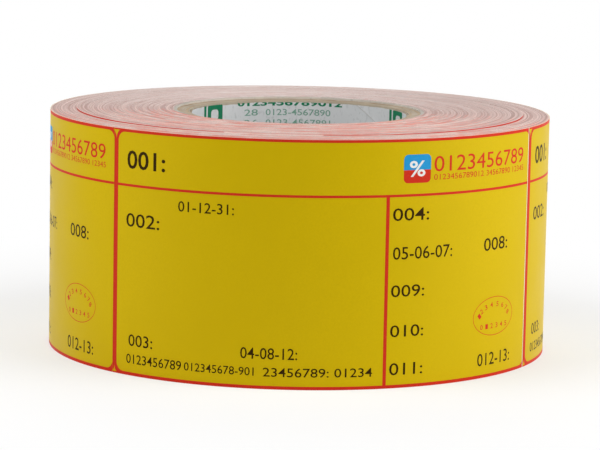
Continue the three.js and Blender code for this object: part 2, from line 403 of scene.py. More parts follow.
def edge_rise(turn):
    """How far the web stands up at a turn from its place in a flat roll."""
    turn = np.asarray(turn, float)
    to_side = np.abs(np.sin(turn_angle(turn)))
    share = SPLICE_LEAST_SHARE + (1 - SPLICE_LEAST_SHARE) * to_side**SPLICE_SIDE_POWER
    proud = np.where(turn < SPLICE_TURN, np.exp((turn - SPLICE_TURN) / SPLICE_FADE_TURNS), 0)
    sunk = CORE_SIDE_DROP * np.exp(-turn * TURN_PITCH / CORE_SIDE_WIDTH) + LEADER_DROP * (turn < LEADER_TURNS)
    return TOP_ROOM * share * proud - sunk * toward_front(turn, 0)


def edge_noise(turn, side, seed):
    """Small height of an edge on the web's inner side (-1) or outer side (1)."""
    from_core = turn * TURN_PITCH
    depth = RIM_JITTER + (CORE_JITTER - RIM_JITTER) * np.exp(-from_core / JITTER_FADE)
    jitter = depth * line_noise(turn * NOISE_KNOTS_PER_TURN, seed)
    tilt = EDGE_TILT * side * line_noise(turn * NOISE_KNOTS_PER_TURN, seed + 1)
    band = EDGE_BAND * end_noise(turn, EDGE_BAND_TURNS, seed + 2)
    level = EDGE_LEVEL * line_noise(turn / EDGE_LEVEL_TURNS, seed + 3)
    return jitter + tilt + band + level


def top_height(turn, side):
    height = WEB_WIDTH + edge_rise(turn) - rim_drop(turn) + edge_noise(turn, side, TOP_SEED)
    return np.minimum(height, WEB_WIDTH + TOP_ROOM)


def foot_height(turn, side):
    return np.maximum(edge_rise(turn) + edge_noise(turn, side, FOOT_SEED), 0)


# Materials


class Recipe:
    """One material, and short ways to add nodes to it."""

    def __init__(self, name):
        self.material = bpy.data.materials.new(name)
        self.material.use_nodes = True
        self.tree = self.material.node_tree
        self.shader = self.tree.nodes["Principled BSDF"]
        self.place = self.add("ShaderNodeTexCoord").outputs["Object"]

    def add(self, kind, inputs=None, **settings):
        node = self.tree.nodes.new(kind)
        for key, value in settings.items():
            setattr(node, key, value)
        for key, value in (inputs or {}).items():
            self.connect(node.inputs[key], value)
        return node

    def connect(self, socket, value):
        if isinstance(value, bpy.types.NodeSocket):
            self.tree.links.new(value, socket)
        else:
            socket.default_value = value

    def noise(self, scale, detail=3.0, stretch=(1, 1, 1)):
        """Noise from 0 to 1 with so many cells to a metre, more where an axis is stretched over one."""
        mapping = self.add("ShaderNodeMapping", {"Vector": self.place, "Scale": stretch})
        inputs = {"Vector": mapping.outputs["Vector"], "Scale": scale, "Detail": detail}
        return self.add("ShaderNodeTexNoise", inputs).outputs["Fac"]

    def spread(self, value, low, high, to_low=0.0, to_high=1.0):
        """A value's range from low to high, stretched to another range and held in it."""
        inputs = {"Value": value, "From Min": low, "From Max": high, "To Min": to_low, "To Max": to_high}
        return self.add("ShaderNodeMapRange", inputs).outputs["Result"]

    def mix(self, share, first, second):
        """A colour between two colours. The node's colour sockets come after those for other data."""
        node = self.add("ShaderNodeMix", data_type="RGBA")
        colours = [socket for socket in node.inputs if socket.type == "RGBA"]
        self.connect(node.inputs["Factor"], share)
        for socket, value in zip(colours, (first, second)):
            self.connect(socket, value if isinstance(value, bpy.types.NodeSocket) else (*value, 1))
        return [socket for socket in node.outputs if socket.type == "RGBA"][0]

    def bump(self, height, strength, distance):
        inputs = {"Height": height, "Strength": strength, "Distance": distance}
        return self.add("ShaderNodeBump", inputs).outputs["Normal"]

    def finish(self, **sockets):
        for key, value in sockets.items():
            self.connect(self.shader.inputs[key.replace("_", " ")], value)
        return self.material


def label_face():
    """Satin yellow coating on paper, a little uneven in colour and gloss, with low upright waves."""
    recipe = Recipe("label_face")
    broad = recipe.spread(recipe.noise(28, 2), 0.35, 0.65)
    grain = recipe.spread(recipe.noise(1500, 4), 0.3, 0.7)
    yellow = recipe.mix(broad, (0.61, 0.432, 0.0006), (0.64, 0.455, 0.0010))
    mottled = recipe.mix(grain, yellow, (0.605, 0.428, 0.0006))
    gloss = recipe.spread(recipe.noise(60, 3), 0.3, 0.7, 0.36, 0.46)
    waves = recipe.noise(34, 1, (1, 1, 0.3))
    rough = recipe.bump(recipe.noise(2600, 3), 0.12, LABEL_GRAIN_DEPTH)
    inputs = {"Height": waves, "Strength": 0.5, "Distance": LABEL_WAVE_DEPTH, "Normal": rough}
    surface = recipe.add("ShaderNodeBump", inputs)
    return recipe.finish(
        Base_Color=mottled, Roughness=gloss, Specular_IOR_Level=0.06, Normal=surface.outputs["Normal"]
    )


def ink(name, colour, below=LABEL_YELLOW, roughness=0.42):
    """Printed ink, so thin here and there that the colour below shows through a little."""
    recipe = Recipe(name)
    thin = recipe.spread(recipe.noise(1400, 3), 0.45, 0.75)
    shares = (1 - INK_THIN_SHARE, INK_THIN_SHARE)
    paler = tuple(shares[0] * part + shares[1] * under for part, under in zip(colour, below))
    gloss = recipe.spread(recipe.noise(500, 2), 0.3, 0.7, roughness - 0.05, roughness + 0.05)
    grain = recipe.bump(recipe.noise(2600, 3), 0.1, INK_GRAIN_DEPTH)
    return recipe.finish(
        Base_Color=recipe.mix(thin, colour, paler), Roughness=gloss, Specular_IOR_Level=0.04, Normal=grain
    )


def paper(name, colours, roughness=0.75, flecks=1200, grain_depth=PAPER_GRAIN_DEPTH):
    """Paper of two mottled colours with fine darker flecks, longer up than across."""
    recipe = Recipe(name)
    cloud = recipe.spread(recipe.noise(90, 4), 0.35, 0.65)
    fleck = recipe.spread(recipe.noise(flecks, 4, (1, 1, 0.5)), 0.55, 0.7)
    mottled = recipe.mix(cloud, colours[0], colours[1])
    darker = tuple(0.8 * part for part in colours[1])
    gloss = recipe.spread(recipe.noise(300, 2), 0.3, 0.7, roughness - 0.06, roughness + 0.06)
    grain = recipe.bump(recipe.noise(2 * flecks, 4), 0.4, grain_depth)
    return recipe.finish(Base_Color=recipe.mix(fleck, mottled, darker), Roughness=gloss, Normal=grain)


def web_edge():
    """Cut edges of the turns, with a tone from the mesh: partly each turn's own, partly painted shade between
    turns and towards the roll's sides.
    """
    recipe = Recipe("web_edge")
    tone = recipe.add("ShaderNodeAttribute", attribute_name="tone").outputs["Fac"]
    dust = recipe.spread(recipe.noise(700, 4), 0.5, 0.72)
    cloud = recipe.spread(recipe.noise(45, 3), 0.35, 0.65)
    paper_tone = recipe.mix(recipe.spread(tone, -0.6, 0.6), (0.29, 0.17, 0.145), (0.73, 0.57, 0.53))
    pinker = recipe.mix(cloud, (0.60, 0.42, 0.375), (0.64, 0.50, 0.455))
    blended = recipe.mix(0.2, paper_tone, pinker)
    dusty = recipe.mix(dust, blended, (0.50, 0.33, 0.29))
    grain = recipe.bump(recipe.noise(3000, 3), 0.5, EDGE_GRAIN_DEPTH)
    return recipe.finish(Base_Color=dusty, Roughness=0.85, Normal=grain)


def print_edge():
    """The print just below a label's cut edge, where the edge is worn and pale in places."""
    recipe = Recipe("print_edge")
    streak = recipe.add("ShaderNodeAttribute", attribute_name="streak").outputs["Fac"]
    patch = recipe.spread(recipe.noise(200, 4), 0.35, 0.65, -0.5, 0.5)
    pale = recipe.add("ShaderNodeMath", {0: streak, 1: patch}, operation="ADD").outputs[0]
    # The tone from the mesh also carries painted shade between turns and towards the roll's sides
    tone = recipe.add("ShaderNodeAttribute", attribute_name="tone").outputs["Fac"]
    red = recipe.mix(recipe.spread(tone, -0.5, 0.5), (0.90, 0.20, 0.14), (0.95, 0.46, 0.38))
    grain = recipe.bump(recipe.noise(3000, 3), 0.5, EDGE_GRAIN_DEPTH)
    worn = recipe.mix(recipe.spread(pale, -0.25, 0.55), red, (0.97, 0.76, 0.70))
    return recipe.finish(Base_Color=worn, Roughness=0.8, Specular_IOR_Level=0.2, Normal=grain)


def floor_paper():
    """White floor that keeps the roll's shadow near it and is plain white to the camera further off."""
    recipe = Recipe("floor")
    rays = recipe.add("ShaderNodeLightPath")
    away = recipe.add("ShaderNodeVectorMath", {0: recipe.place}, operation="LENGTH").outputs["Value"]
    far = recipe.add(
        "ShaderNodeMapRange",
        {"Value": away, "From Min": FLOOR_FADE_START, "From Max": FLOOR_FADE_END, "To Min": FLOOR_LEAST_GLOW},
        interpolation_type="SMOOTHSTEP",
    ).outputs["Result"]
    seen = recipe.add("ShaderNodeMath", {0: rays.outputs["Is Camera Ray"], 1: far}, operation="MULTIPLY")
    mirrored = recipe.add(
        "ShaderNodeMath",
        {0: rays.outputs["Is Glossy Ray"], 1: rays.outputs["Is Transmission Ray"]},
        operation="MAXIMUM",
    )
    white = recipe.add("ShaderNodeMath", {0: seen.outputs[0], 1: mirrored.outputs[0]}, operation="MAXIMUM")
    glow = recipe.add("ShaderNodeEmission", {"Strength": 1.0})
    grain = recipe.bump(recipe.noise(300, 3), 0.1, FLOOR_GRAIN_DEPTH)
    recipe.finish(Base_Color=(0.95, 0.95, 0.95, 1), Roughness=0.9, Specular_IOR_Level=0.0, Normal=grain)
    inputs = {0: white.outputs[0], 1: recipe.shader.outputs[0], 2: glow.outputs[0]}
    blend = recipe.add("ShaderNodeMixShader", inputs)
    surface = recipe.tree.nodes["Material Output"].inputs["Surface"]
    recipe.tree.links.new(blend.outputs[0], surface)
    return recipe.material


# Meshes


def add_piece(name, mesh, materials, replaced=()):
    piece = bpy.data.objects.new(name, mesh)
    bpy.context.collection.objects.link(piece)
    for material in materials:
        mesh.materials.append(material)
    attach(piece, "root")
    if replaced:
        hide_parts(*replaced)


def shade_smooth(mesh):
    mesh.polygons.foreach_set("use_smooth", [True] * len(mesh.polygons))
    mesh.set_sharp_from_angle(angle=SHARP_FROM)


def quads(*corners):
    """Faces from columns of corner numbers."""
    return np.column_stack(corners).tolist()


def wound_body(name, first, last, materials, replaced):
    """The web between two whole turns as one closed body, whose ends show the edges of its turns.

    A step has four corners: top inner, top outer, foot inner and foot outer. A wall stands where a turn's
    outer side and the next one's inner side differ in height. It shows a label's print if the inner turn is
    higher, worn if the wall is low, and the back of the paper if the outer one is. The first turns have no
    labels.
    """
    turn = STEPS_PER_TURN
    turns = np.arange(first * turn, last * turn + 1) / turn
    inner, outer = wound(turns), wound(turns + 1)
    corners = np.stack(
        [
            np.column_stack([*inner, top_height(turns, -1)]),
            np.column_stack([*outer, top_height(turns, 1)]),
            np.column_stack([*inner, foot_height(turns, -1)]),
            np.column_stack([*outer, foot_height(turns, 1)]),
        ],
        axis=1,
    )
    count = len(turns) - 1
    step = np.arange(count)

    def corner(which):
        return lambda i: 4 * i + which

    top_in, top_out, foot_in, foot_out = (corner(which) for which in range(4))
    inside = step[: count - turn]
    beyond = inside + turn
    edges = quads(top_in(step), top_out(step), top_out(step + 1), top_in(step + 1))
    edges += quads(foot_in(step), foot_in(step + 1), foot_out(step + 1), foot_out(step))
    walls = quads(top_out(inside), top_in(beyond), top_in(beyond + 1), top_out(inside + 1))
    walls += quads(foot_out(inside), foot_out(inside + 1), foot_in(beyond + 1), foot_in(beyond))
    top_drop = corners[:-turn, 1, 2] - corners[turn:, 0, 2]
    foot_drop = corners[turn:, 2, 2] - corners[:-turn, 3, 2]
    drop = np.concatenate([(gap[:-1] + gap[1:]) / 2 for gap in (top_drop, foot_drop)])
    wall_material = np.select([drop > TALL_WALL, drop > 0], [LABEL_PRINT, WORN_PRINT], PAPER_BACK)
    wall_material[np.tile(turns[inside] < LEADER_TURNS, 2)] = LEADER_EDGE
    edge_material = np.tile(np.where(turns[step] < LEADER_TURNS, LEADER_EDGE, CUT_EDGE), 2)
    start = step[:turn]
    bore = quads(top_in(start), top_in(start + 1), foot_in(start + 1), foot_in(start))
    rim_start = count - turn
    rim_step = step[rim_start + 1 :]
    rim = quads(top_out(rim_step), foot_out(rim_step), foot_out(rim_step + 1), top_out(rim_step + 1))
    rim.append(
        [
            top_out(rim_start + 1),
            top_out(rim_start),
            top_in(count),
            foot_in(count),
            foot_out(rim_start),
            foot_out(rim_start + 1),
        ]
    )
    ends = [
        [top_in(0), foot_in(0), foot_out(0), foot_in(turn), top_in(turn), top_out(0)],
        [top_in(count), top_out(count), foot_out(count), foot_in(count)],
    ]
    mesh = bpy.data.meshes.new(name)
    mesh.from_pydata(corners.reshape(-1, 3).tolist(), [], edges + walls + bore + rim + ends)
    material = [*edge_material, *wall_material]
    # The bore gets the darkened paper that is painted shade
    material += [BORE_PAINTED_SHADE] * len(bore) + [LABEL_PRINT] * len(rim) + [CUT_EDGE] * len(ends)
    mesh.polygons.foreach_set("material_index", material)
    # Random tone for each ring of turns; its darker rings are also painted shade in the gaps between turns
    rings = line_noise(turns / RING_TURNS, RING_SEED)
    arcs = end_noise(turns, RING_TURNS, ARC_SEED)
    fine = line_noise(turns * NOISE_LOBES, FINE_SEED)
    tone = RING_SHARE * rings + ARC_SHARE * arcs + (1 - RING_SHARE - ARC_SHARE) * fine
    tone += SPLICE_TONE * np.exp(-(((turns - SPLICE_TURN) / SPLICE_TONE_TURNS) ** 2))
    # Painted shade, darker towards the roll's left and right sides
    tone -= SIDE_PAINTED_SHADE * np.sin(turn_angle(turns)) ** 2
    streak = end_noise(turns, STREAK_TURNS, STREAK_SEED, STREAK_LOBES)
    for key, values in (("tone", tone), ("streak", streak)):
        mesh.attributes.new(key, "FLOAT", "POINT").data.foreach_set("value", np.repeat(values, 4))
    mesh.validate()
    add_piece(name, mesh, materials, replaced)


# Flat sheets, drawn in along, up and out, then cut, thickened and bent round the axis


def outline_rounded(left, right, low, high, radius, top_radius=None):
    """Points anticlockwise round a rectangle with arcs for corners."""
    top_radius = top_radius or radius
    corners = [
        (right - top_radius, high - top_radius, top_radius),
        (left + top_radius, high - top_radius, top_radius),
        (left + radius, low + radius, radius),
        (right - radius, low + radius, radius),
    ]
    points = []
    for corner, (x, y, reach) in enumerate(corners):
        for step in range(ARC_STEPS + 1):
            angle = (corner + step / ARC_STEPS) * QUARTER_TURN
            points.append((x + reach * math.cos(angle), y + reach * math.sin(angle)))
    return points


def outline_oval(centre, half):
    angles = [FULL_TURN * step / OVAL_STEPS for step in range(OVAL_STEPS)]
    return [
        (centre[0] + half[0] * math.cos(angle), centre[1] + half[1] * math.sin(angle)) for angle in angles
    ]


def draw_patch(sheet, outline):
    sheet.faces.new([sheet.verts.new((x, y, 0)) for x, y in outline])


def draw_rectangle(sheet, left, right, low, high):
    draw_patch(sheet, [(left, low), (right, low), (right, high), (left, high)])


def draw_band(sheet, outer, inner):
    """A flat band between two closed outlines of as many points."""
    outside = [sheet.verts.new((x, y, 0)) for x, y in outer]
    inside = [sheet.verts.new((x, y, 0)) for x, y in inner]
    for k in range(len(outside)):
        after = (k + 1) % len(outside)
        sheet.faces.new((outside[k], outside[after], inside[after], inside[k]))


def draw_words(sheet, words, left, right, low, high, weight=TEXT_WEIGHT, tilt=0.0):
    """Words stretched to fill a box, then turned about its middle."""
    curve = bpy.data.curves.new("words", "FONT")
    curve.body = words
    curve.offset = weight
    curve.resolution_u = TEXT_CURVE_STEPS
    holder = bpy.data.objects.new("words", curve)
    mesh = bpy.data.meshes.new_from_object(holder)
    points = np.array([corner.co for corner in mesh.vertices])
    least, most = points.min(axis=0), points.max(axis=0)
    size = [(right - left) / (most[0] - least[0]), (high - low) / (most[1] - least[1])]
    middle = (least + most) / 2
    target = Matrix.Translation(((left + right) / 2, (low + high) / 2, 0)) @ Matrix.Rotation(tilt, 4, "Z")
    centred = Matrix.Translation((-middle[0], -middle[1], 0))
    mesh.transform(target @ Matrix.Diagonal((*size, 1, 1)) @ centred)
    sheet.from_mesh(mesh)
    bpy.data.meshes.remove(mesh)
    bpy.data.objects.remove(holder)
    bpy.data.curves.remove(curve)


def cut_sheet(sheet, axis, place, keep):
    """Cuts a sheet across an axis. keep is -1 or 1 for the lower or higher side, 0 for both."""
    across = Vector((axis == 0, axis == 1, 0))
    bmesh.ops.bisect_plane(
        sheet,
        geom=sheet.verts[:] + sheet.edges[:] + sheet.faces[:],
        plane_co=across * place,
        plane_no=across,
        clear_inner=keep > 0,
        clear_outer=keep < 0,
    )


def thicken(sheet, thickness):
    bmesh.ops.remove_doubles(sheet, verts=sheet.verts, dist=MERGE_DISTANCE)
    flat = sheet.faces[:]
    grown = bmesh.ops.extrude_face_region(sheet, geom=flat, use_keep_orig=True)["geom"]
    lifted = [part for part in grown if isinstance(part, bmesh.types.BMVert)]
    bmesh.ops.translate(sheet, verts=lifted, vec=(0, 0, thickness))
    bmesh.ops.recalc_face_normals(sheet, faces=sheet.faces)


def settle_order(sheet):
    """Sorts a sheet's corners and faces by place, because cutting it leaves them in an order of chance."""
    corners = sorted(sheet.verts, key=lambda corner: tuple(corner.co))
    corner_rank = {corner: rank for rank, corner in enumerate(corners)}
    sheet.verts.sort(key=corner_rank.get)
    faces = sorted(sheet.faces, key=lambda face: sorted(corner_rank[corner] for corner in face.verts))
    face_rank = {face: rank for rank, face in enumerate(faces)}
    sheet.faces.sort(key=face_rank.get)


def bent_mesh(name, sheet, bend):
    """A mesh from a sheet. bend takes along, up and out and gives x, y and z."""
    settle_order(sheet)
    mesh = bpy.data.meshes.new(name)
    sheet.to_mesh(mesh)
    flat = np.empty(3 * len(mesh.vertices))
    mesh.vertices.foreach_get("co", flat)
    points = np.column_stack(bend(*flat.reshape(-1, 3).T))
    mesh.vertices.foreach_set("co", points.ravel())
    mesh.update()
    shade_smooth(mesh)
    return mesh


# Last turn


def label_turn(number, along):
    """The turn at a distance along a label. Label 1 ends at the web's tail."""
    return LAST_TURN - (number * LABEL_LENGTH - (along + CUT_TO_JOINT)) / TURN_LENGTH


def label_step(step):
    return step * LABEL_LENGTH / LABEL_STEPS - CUT_TO_JOINT


def label_limits(number):
    """How far a label's sheet reaches to the left and right in its own coordinates."""
    left = -CUT_TO_JOINT + CUT_WIDTH / 2
    right = LABEL_LENGTH - CUT_TO_JOINT - (OPEN_CUT_WIDTH if number == OPEN_CUT_LABEL else CUT_WIDTH / 2)
    if label_turn(number, left) < COVERED_TURNS:
        left += (COVERED_TURNS - label_turn(number, left)) * TURN_LENGTH
    return left, right


def label_curl(number, along):
    """How far a label stands off the roll near the web's tail."""
    to_tail = (LAST_TURN - label_turn(number, along)) * TURN_LENGTH
    curl = np.exp(-to_tail / CURL_LENGTH)
    return CURL_HEIGHT * np.maximum(curl - np.exp(-CURL_REACH), 0)


def bend_on_roll(number, lift):
    def bend(along, up, out):
        turn = label_turn(number, along)
        x, y = wound(turn, lift + out + label_curl(number, along))
        return x, y, np.minimum(up, WEB_WIDTH - rim_drop(turn))

    return bend


def add_last_backing(materials):
    """The backing of the last turn, whose edges show above and below the labels."""
    steps = STEPS_PER_TURN
    turns = COVERED_TURNS + np.arange(steps + 1) / steps
    curl = label_curl(1, LABEL_LENGTH - CUT_TO_JOINT - (LAST_TURN - turns) * TURN_LENGTH)
    inner = wound(turns, LAYER_GAP + curl)
    outer = wound(turns, BACKING_THICKNESS + curl)
    top = WEB_WIDTH - rim_drop(turns)
    foot = foot_height(turns, 0)
    section = ((inner, foot), (inner, top), (outer, top), (outer, foot))
    corners = np.stack([np.column_stack([*side, z]) for side, z in section], axis=1)
    step = 4 * np.arange(steps)
    faces = []
    for k in range(4):
        after = (k + 1) % 4
        faces += quads(step + k, step + after, step + 4 + after, step + 4 + k)
    faces += [[3, 2, 1, 0], [4 * steps + k for k in range(4)]]
    mesh = bpy.data.meshes.new("last_turn_backing")
    mesh.from_pydata(corners.reshape(-1, 3).tolist(), [], faces)
    shade_smooth(mesh)
    add_piece("last_turn_backing", mesh, materials, ["outer_backing"])


def draw_frame(sheet, left):
    """The frame of one label, from the middle of its left line, joined to the next above and below."""
    right = left + LABEL_LENGTH
    join_low, join_high = FRAME_LOW + FRAME_LOW_JOIN, FRAME_HIGH - FRAME_TOP_JOIN
    draw_rectangle(sheet, left, right, FRAME_LOW, join_low)
    draw_rectangle(sheet, left, right, join_high, FRAME_HIGH)
    rounded = outline_rounded(left, right, FRAME_LOW, FRAME_HIGH, FRAME_LOW_RADIUS, FRAME_TOP_RADIUS)
    draw_band(
        sheet,
        [(x, min(max(y, join_low), join_high)) for x, y in rounded],
        outline_rounded(
            left + FRAME_SIDE_WIDTH,
            right - FRAME_SIDE_WIDTH,
            FRAME_LOW + FRAME_LOW_WIDTH,
            FRAME_HIGH - FRAME_TOP_WIDTH,
            FRAME_INNER_RADIUS,
        ),
    )


def draw_oval(sheet):
    """A thin oval ring with digits along its upper half and in a row below."""
    inner_half = [half - OVAL_LINE_WIDTH for half in OVAL_HALF]
    draw_band(sheet, outline_oval(OVAL_PLACE, OVAL_HALF), outline_oval(OVAL_PLACE, inner_half))
    half_width, half_height = (size / 2 for size in OVAL_DIGIT_SIZE)

    def draw_digit(digit, x, y, tilt=0.0):
        box = (x - half_width, x + half_width, y - half_height, y + half_height)
        draw_words(sheet, digit, *box, tilt=tilt)

    for k, digit in enumerate(OVAL_UPPER_DIGITS):
        angle = OVAL_FIRST_ANGLE - OVAL_DIGITS_SPAN * k / (len(OVAL_UPPER_DIGITS) - 1)
        x = OVAL_PLACE[0] + OVAL_DIGIT_SHARES[0] * OVAL_HALF[0] * math.cos(angle)
        y = OVAL_PLACE[1] + OVAL_DIGIT_SHARES[1] * OVAL_HALF[1] * math.sin(angle)
        draw_digit(digit, x, y, (angle - QUARTER_TURN) / 2)
    for k, digit in enumerate(OVAL_LOWER_DIGITS):
        x = OVAL_PLACE[0] + OVAL_LOWER_SPAN * (k / (len(OVAL_LOWER_DIGITS) - 1) - 0.5)
        draw_digit(digit, x, OVAL_PLACE[1] - OVAL_LOWER_DROP)


def draw_red(sheet):
    draw_frame(sheet, 0)
    draw_frame(sheet, -LABEL_LENGTH)
    draw_rectangle(
        sheet,
        FRAME_SIDE_WIDTH,
        LABEL_LENGTH - FRAME_SIDE_WIDTH,
        HEADER_LINE_HEIGHT - HEADER_LINE_WIDTH / 2,
        HEADER_LINE_HEIGHT + HEADER_LINE_WIDTH / 2,
    )
    draw_rectangle(
        sheet,
        COLUMN_LINE_PLACE - COLUMN_LINE_WIDTH / 2,
        COLUMN_LINE_PLACE + COLUMN_LINE_WIDTH / 2,
        FRAME_LOW + FRAME_LOW_WIDTH,
        HEADER_LINE_HEIGHT - HEADER_LINE_WIDTH / 2,
    )
    for words, *box in RED_LINES:
        draw_words(sheet, words, *(MM * side for side in box), weight=0)
    draw_oval(sheet)
    left, right, low, high = BADGE_PLACE
    split = low + BADGE_SPLIT_SHARE * (high - low)
    rounded = outline_rounded(left, right, low, split + BADGE_RADIUS, BADGE_RADIUS)
    draw_patch(sheet, [point for point in rounded if point[1] <= split])


def draw_black(sheet):
    for k, (words, *box) in enumerate(BLACK_LINES):
        weight = BOLD_TEXT_WEIGHT if k < BOLD_BLACK_LINES else TEXT_WEIGHT
        draw_words(sheet, words, *(MM * side for side in box), weight=weight)


def draw_blue(sheet):
    left, right, low, high = BADGE_PLACE
    split = low + BADGE_SPLIT_SHARE * (high - low)
    rounded = outline_rounded(left, right, split - BADGE_RADIUS, high, BADGE_RADIUS)
    draw_patch(sheet, [point for point in rounded if point[1] >= split])


def draw_white(sheet):
    left, right, low, high = BADGE_PLACE
    inset = BADGE_SIGN_SHARE * (high - low)
    draw_words(sheet, "%", left + inset, right - inset, low + inset, high - inset, weight=BOLD_TEXT_WEIGHT)


def sliced(draw):
    """A drawing for one label, cut at each of the label's steps so that it bends as the label does."""
    sheet = bmesh.new()
    draw(sheet)
    for step in range(1, LABEL_STEPS):
        cut_sheet(sheet, 0, label_step(step), 0)
    mesh = bpy.data.meshes.new("drawing")
    sheet.to_mesh(mesh)
    sheet.free()
    return mesh


def draw_label(sheet):
    draw_rectangle(sheet, label_step(0), label_step(LABEL_STEPS), LABEL_INSET, WEB_WIDTH - LABEL_INSET)


def add_labels(materials):
    """Each label on show with its print, layer on layer."""
    label_lift = BACKING_THICKNESS + LAYER_GAP
    ink_lift = label_lift + LABEL_THICKNESS + INK_GAP
    layers = [
        ("sheet", draw_label, label_lift, LABEL_THICKNESS),
        ("red", draw_red, ink_lift, INK_THICKNESS),
        ("black", draw_black, ink_lift, INK_THICKNESS),
        ("blue", draw_blue, ink_lift, INK_THICKNESS),
        ("white", draw_white, ink_lift + INK_THICKNESS, INK_THICKNESS),
    ]
    for layer, draw, lift, thickness in layers:
        drawing = sliced(draw)
        for number in range(1, LABELS_ON_SHOW + 1):
            sheet = bmesh.new()
            sheet.from_mesh(drawing)
            left, right = label_limits(number)
            cut_sheet(sheet, 0, left, 1)
            cut_sheet(sheet, 0, right, -1)
            if sheet.faces:
                thicken(sheet, thickness)
                name = f"label_{number}_{layer}"
                mesh = bent_mesh(name, sheet, bend_on_roll(number, lift))
                add_piece(name, mesh, [materials[layer]], [f"label_{number:02d}"])
            sheet.free()
        bpy.data.meshes.remove(drawing)


# Core


def helical_ply(name, inner_radius, outer_radius, top, seam_top_angle, lip, seed, materials, replaced):
    """One strip wound on a helix as a tube, open by a seam that climbs it. Its end is worn.

    Only the liner has a lip beside its seam, and only its end is torn.
    """
    rows = math.ceil(top / PLY_ROW_HEIGHT)
    height = np.linspace(0, top, rows + 1)[:, None]
    share = np.linspace(0, 1, PLY_COLUMNS + 1)[None, :]
    around = FULL_TURN * inner_radius - PLY_SEAM_WIDTH
    seam_angle = seam_top_angle + (height - top) / (inner_radius * math.tan(PLY_CLIMB))
    angle = seam_angle + (PLY_SEAM_WIDTH / 2 + share * around) / inner_radius
    to_seam = np.minimum(share, 1 - share) * around
    lift = lip * np.exp(-to_seam / LINER_LIP_LENGTH) + 0 * height
    at_end = np.zeros_like(height)
    at_end[-1] = 1
    wear_place = (angle % FULL_TURN) / FULL_TURN * PLY_END_KNOTS
    wear = PLY_END_WEAR * (line_noise(wear_place, seed) - 1) / 2
    z = height + at_end * wear
    if lip:
        torn_angles, torn_drops = zip(*LINER_END_DROPS)
        z = z - at_end * MM * np.interp(np.degrees(angle) % 360, torn_angles, torn_drops)
    shells = []
    for radius in (inner_radius - lift, outer_radius + 0 * lift):
        shells.append(np.stack([radius * np.sin(angle), -radius * np.cos(angle), z], axis=-1))
    corners = np.concatenate([shell.reshape(-1, 3) for shell in shells])
    across = PLY_COLUMNS + 1
    inner = np.arange((rows + 1) * across).reshape(rows + 1, across)
    outer = inner + inner.size

    def band(*sides):
        return quads(*(side.ravel() for side in sides))

    walls = band(inner[:-1, :-1], inner[1:, :-1], inner[1:, 1:], inner[:-1, 1:])
    backs = band(outer[:-1, :-1], outer[:-1, 1:], outer[1:, 1:], outer[1:, :-1])
    ends = band(inner[0, :-1], inner[0, 1:], outer[0, 1:], outer[0, :-1])
    ends += band(inner[-1, :-1], outer[-1, :-1], outer[-1, 1:], inner[-1, 1:])
    ends += band(inner[:-1, 0], outer[:-1, 0], outer[1:, 0], inner[1:, 0])
    ends += band(inner[:-1, -1], inner[1:, -1], outer[1:, -1], outer[:-1, -1])
    mesh = bpy.data.meshes.new(name)
    mesh.from_pydata(corners.tolist(), [], walls + backs + ends)
    mesh.polygons.foreach_set("material_index", [0] * len(walls + backs) + [1] * len(ends))
    shade_smooth(mesh)
    add_piece(name, mesh, materials, replaced)


def add_core(materials):
    radii = [node_radii(node)[0] for node in CORE_PLIES] + [PACK_BORE]
    faces = [materials["liner"]] + [materials["board"]] * (len(CORE_PLIES) - 2) + [materials["kraft"]]
    for k, node in enumerate(CORE_PLIES):
        liner = k == 0
        helical_ply(
            node.replace("core", "paper"),
            radii[k],
            radii[k + 1] - PLY_GAP,
            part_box(node)[1][2] - PLY_END_DROPS[k],
            LINER_SEAM_TOP_ANGLE + k * SEAM_STAGGER,
            LINER_LIP if liner else 0,
            PLY_SEED + k,
            [faces[k], materials["kraft" if node in KRAFT_ENDS else "torn"]],
            [node],
        )


def add_fibres(material):
    """Torn fibres that stand up from the liner's end."""
    random = np.random.default_rng(FIBRE_SEED)
    inner, outer = node_radii("core_inner_liner")[0], node_radii("core_body_ply_1")[0]
    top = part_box("core_inner_liner")[1][2]
    tuft = bmesh.new()
    for _ in range(FIBRES):
        angle = random.uniform(0, FULL_TURN)
        radius = random.uniform(inner + FIBRE_WIDTH, outer)
        foot = Vector((radius * math.sin(angle), -radius * math.cos(angle), top - FIBRE_LENGTH / 2))
        lean = Vector(random.normal(0, FIBRE_LEAN, 3))
        along = (Vector((0, 0, 1)) + Vector((lean.x, lean.y, 0))).normalized()
        side = along.cross(Vector((math.sin(angle), -math.cos(angle), 0))).normalized() * FIBRE_WIDTH
        across = along.cross(side).normalized() * FIBRE_WIDTH
        length = FIBRE_LENGTH * random.uniform(FIBRE_LEAST_SHARE, 1.0)
        corners = [foot - side - across, foot + side - across, foot + across]
        base = [tuft.verts.new(corner) for corner in corners]
        tip = tuft.verts.new(foot + along * length)
        tuft.faces.new(base)
        for k in range(3):
            tuft.faces.new((base[k], base[(k + 1) % 3], tip))
    bmesh.ops.recalc_face_normals(tuft, faces=tuft.faces)
    mesh = bpy.data.meshes.new("torn_fibres")
    tuft.to_mesh(mesh)
    tuft.free()
    add_piece("torn_fibres", mesh, [material], ["core_inner_liner"])


def liner_words(sheet, left, top, text, box, weight):
    start, end, low, high = (MM * side for side in box)
    draw_words(sheet, text, left + start, left + end, top + low, top + high, weight=weight)


def draw_liner_block(sheet, left, top):
    """The darker half of one repeat of the liner's print: a bar, a block and a row of digits."""
    start, end, low, high = (MM * side for side in LINER_BAR)
    draw_rectangle(sheet, left + start, left + end, top + low, top + high)
    outlines = []
    for block in (LINER_BLOCK, LINER_BLOCK_HOLE):
        start, end, low, high, radius = (MM * side for side in block)
        outlines.append(outline_rounded(left + start, left + end, top + low, top + high, radius))
    draw_band(sheet, *outlines)
    liner_words(sheet, left, top, "0123456789012", LINER_LARGE_WORDS, LINER_BOLD_TEXT_WEIGHT)


